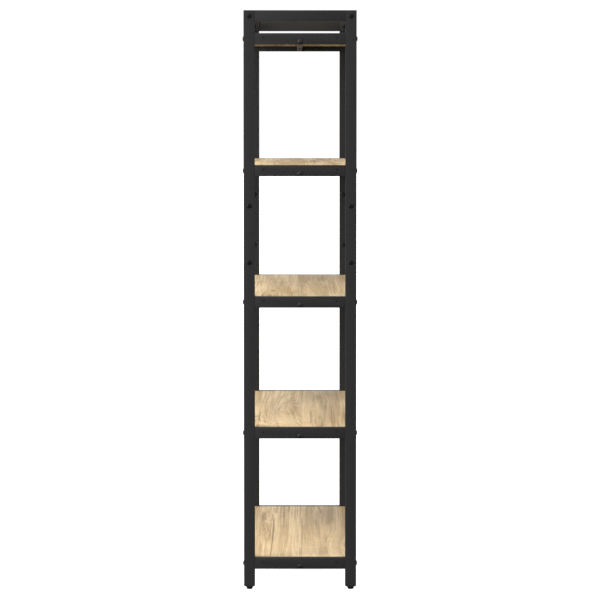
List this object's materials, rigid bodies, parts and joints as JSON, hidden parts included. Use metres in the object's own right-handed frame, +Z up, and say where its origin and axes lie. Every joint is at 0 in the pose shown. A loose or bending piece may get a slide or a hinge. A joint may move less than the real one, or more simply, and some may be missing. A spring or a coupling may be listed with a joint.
{
  "type": "bookcase",
  "caption": "Open bookcase: black square-tube frame in bolted side frames, thin loose oak-look shelf boards on lengthwise bars, an open guard frame on top, levelling feet.",
  "frame": {"origin": "on the floor under the centre of the bookcase", "axes": "+Z up, +X along the shelves, the front faces -Y"},
  "size_m": [1.2058, 0.3108, 1.57],
  "materials": {
    "black_coat": "fine-textured satin black powder coat",
    "black_bolt": "satin black",
    "grey_steel": "matt grey coat",
    "oak_board": "matt light oak decor",
    "foot_plastic": "matt black"
  },
  "bodies": {
    "frame": {"post_lower_left_front": "black_coat", "post_upper_left_front": "black_coat", "sleeve_left_front": "black_bolt", "bolt_1_left_front": "black_bolt", "bolt_2_left_front": "black_bolt", "bolt_3_left_front": "black_bolt", "bolt_4_left_front": "black_bolt", "bolt_5_left_front": "black_bolt", "post_lower_left_rear": "black_coat", "post_upper_left_rear": "black_coat", "sleeve_left_rear": "black_bolt", "bolt_1_left_rear": "black_bolt", "bolt_2_left_rear": "black_bolt", "bolt_3_left_rear": "black_bolt", "bolt_4_left_rear": "black_bolt", "bolt_5_left_rear": "black_bolt", "side_rail_1_left": "black_coat", "side_rail_2_left": "black_coat", "side_rail_3_left": "black_coat", "side_rail_4_left": "black_coat", "side_rail_5_left": "black_coat", "top_rail_left": "black_coat", "post_lower_right_front": "black_coat", "post_upper_right_front": "black_coat", "sleeve_right_front": "black_bolt", "bolt_1_right_front": "black_bolt", "bolt_2_right_front": "black_bolt", "bolt_3_right_front": "black_bolt", "bolt_4_right_front": "black_bolt", "bolt_5_right_front": "black_bolt", "post_lower_right_rear": "black_coat", "post_upper_right_rear": "black_coat", "sleeve_right_rear": "black_bolt", "bolt_1_right_rear": "black_bolt", "bolt_2_right_rear": "black_bolt", "bolt_3_right_rear": "black_bolt", "bolt_4_right_rear": "black_bolt", "bolt_5_right_rear": "black_bolt", "side_rail_1_right": "black_coat", "side_rail_2_right": "black_coat", "side_rail_3_right": "black_coat", "side_rail_4_right": "black_coat", "side_rail_5_right": "black_coat", "top_rail_right": "black_coat", "support_bar_1": "grey_steel", "support_bar_2": "grey_steel", "support_bar_3": "grey_steel", "support_bar_4": "grey_steel", "support_bar_5": "grey_steel", "top_tie_front": "black_coat", "top_tie_rear": "black_coat"},
    "foot_left_front": {"foot_left_front": "foot_plastic"},
    "foot_left_rear": {"foot_left_rear": "foot_plastic"},
    "foot_right_front": {"foot_right_front": "foot_plastic"},
    "foot_right_rear": {"foot_right_rear": "foot_plastic"},
    "shelf_1": {"shelf_board_1": "oak_board"},
    "shelf_2": {"shelf_board_2": "oak_board"},
    "shelf_3": {"shelf_board_3": "oak_board"},
    "shelf_4": {"shelf_board_4": "oak_board"},
    "shelf_5": {"shelf_board_5": "oak_board"}
  },
  "joints": [
    {"name": "foot_left_front_screw", "type": "slide", "parent": "frame", "child": "foot_left_front", "axis": [0, 0, 1], "range_m": [-0.01, 0]},
    {"name": "foot_left_rear_screw", "type": "slide", "parent": "frame", "child": "foot_left_rear", "axis": [0, 0, 1], "range_m": [-0.01, 0]},
    {"name": "foot_right_front_screw", "type": "slide", "parent": "frame", "child": "foot_right_front", "axis": [0, 0, 1], "range_m": [-0.01, 0]},
    {"name": "foot_right_rear_screw", "type": "slide", "parent": "frame", "child": "foot_right_rear", "axis": [0, 0, 1], "range_m": [-0.01, 0]},
    {"name": "shelf_1_lift", "type": "slide", "parent": "frame", "child": "shelf_1", "axis": [0, 0, 1], "range_m": [0, 0.08]},
    {"name": "shelf_2_lift", "type": "slide", "parent": "frame", "child": "shelf_2", "axis": [0, 0, 1], "range_m": [0, 0.08]},
    {"name": "shelf_3_lift", "type": "slide", "parent": "frame", "child": "shelf_3", "axis": [0, 0, 1], "range_m": [0, 0.08]},
    {"name": "shelf_4_lift", "type": "slide", "parent": "frame", "child": "shelf_4", "axis": [0, 0, 1], "range_m": [0, 0.08]},
    {"name": "shelf_5_lift", "type": "slide", "parent": "frame", "child": "shelf_5", "axis": [0, 0, 1], "range_m": [0, 0.028]}
  ]
}
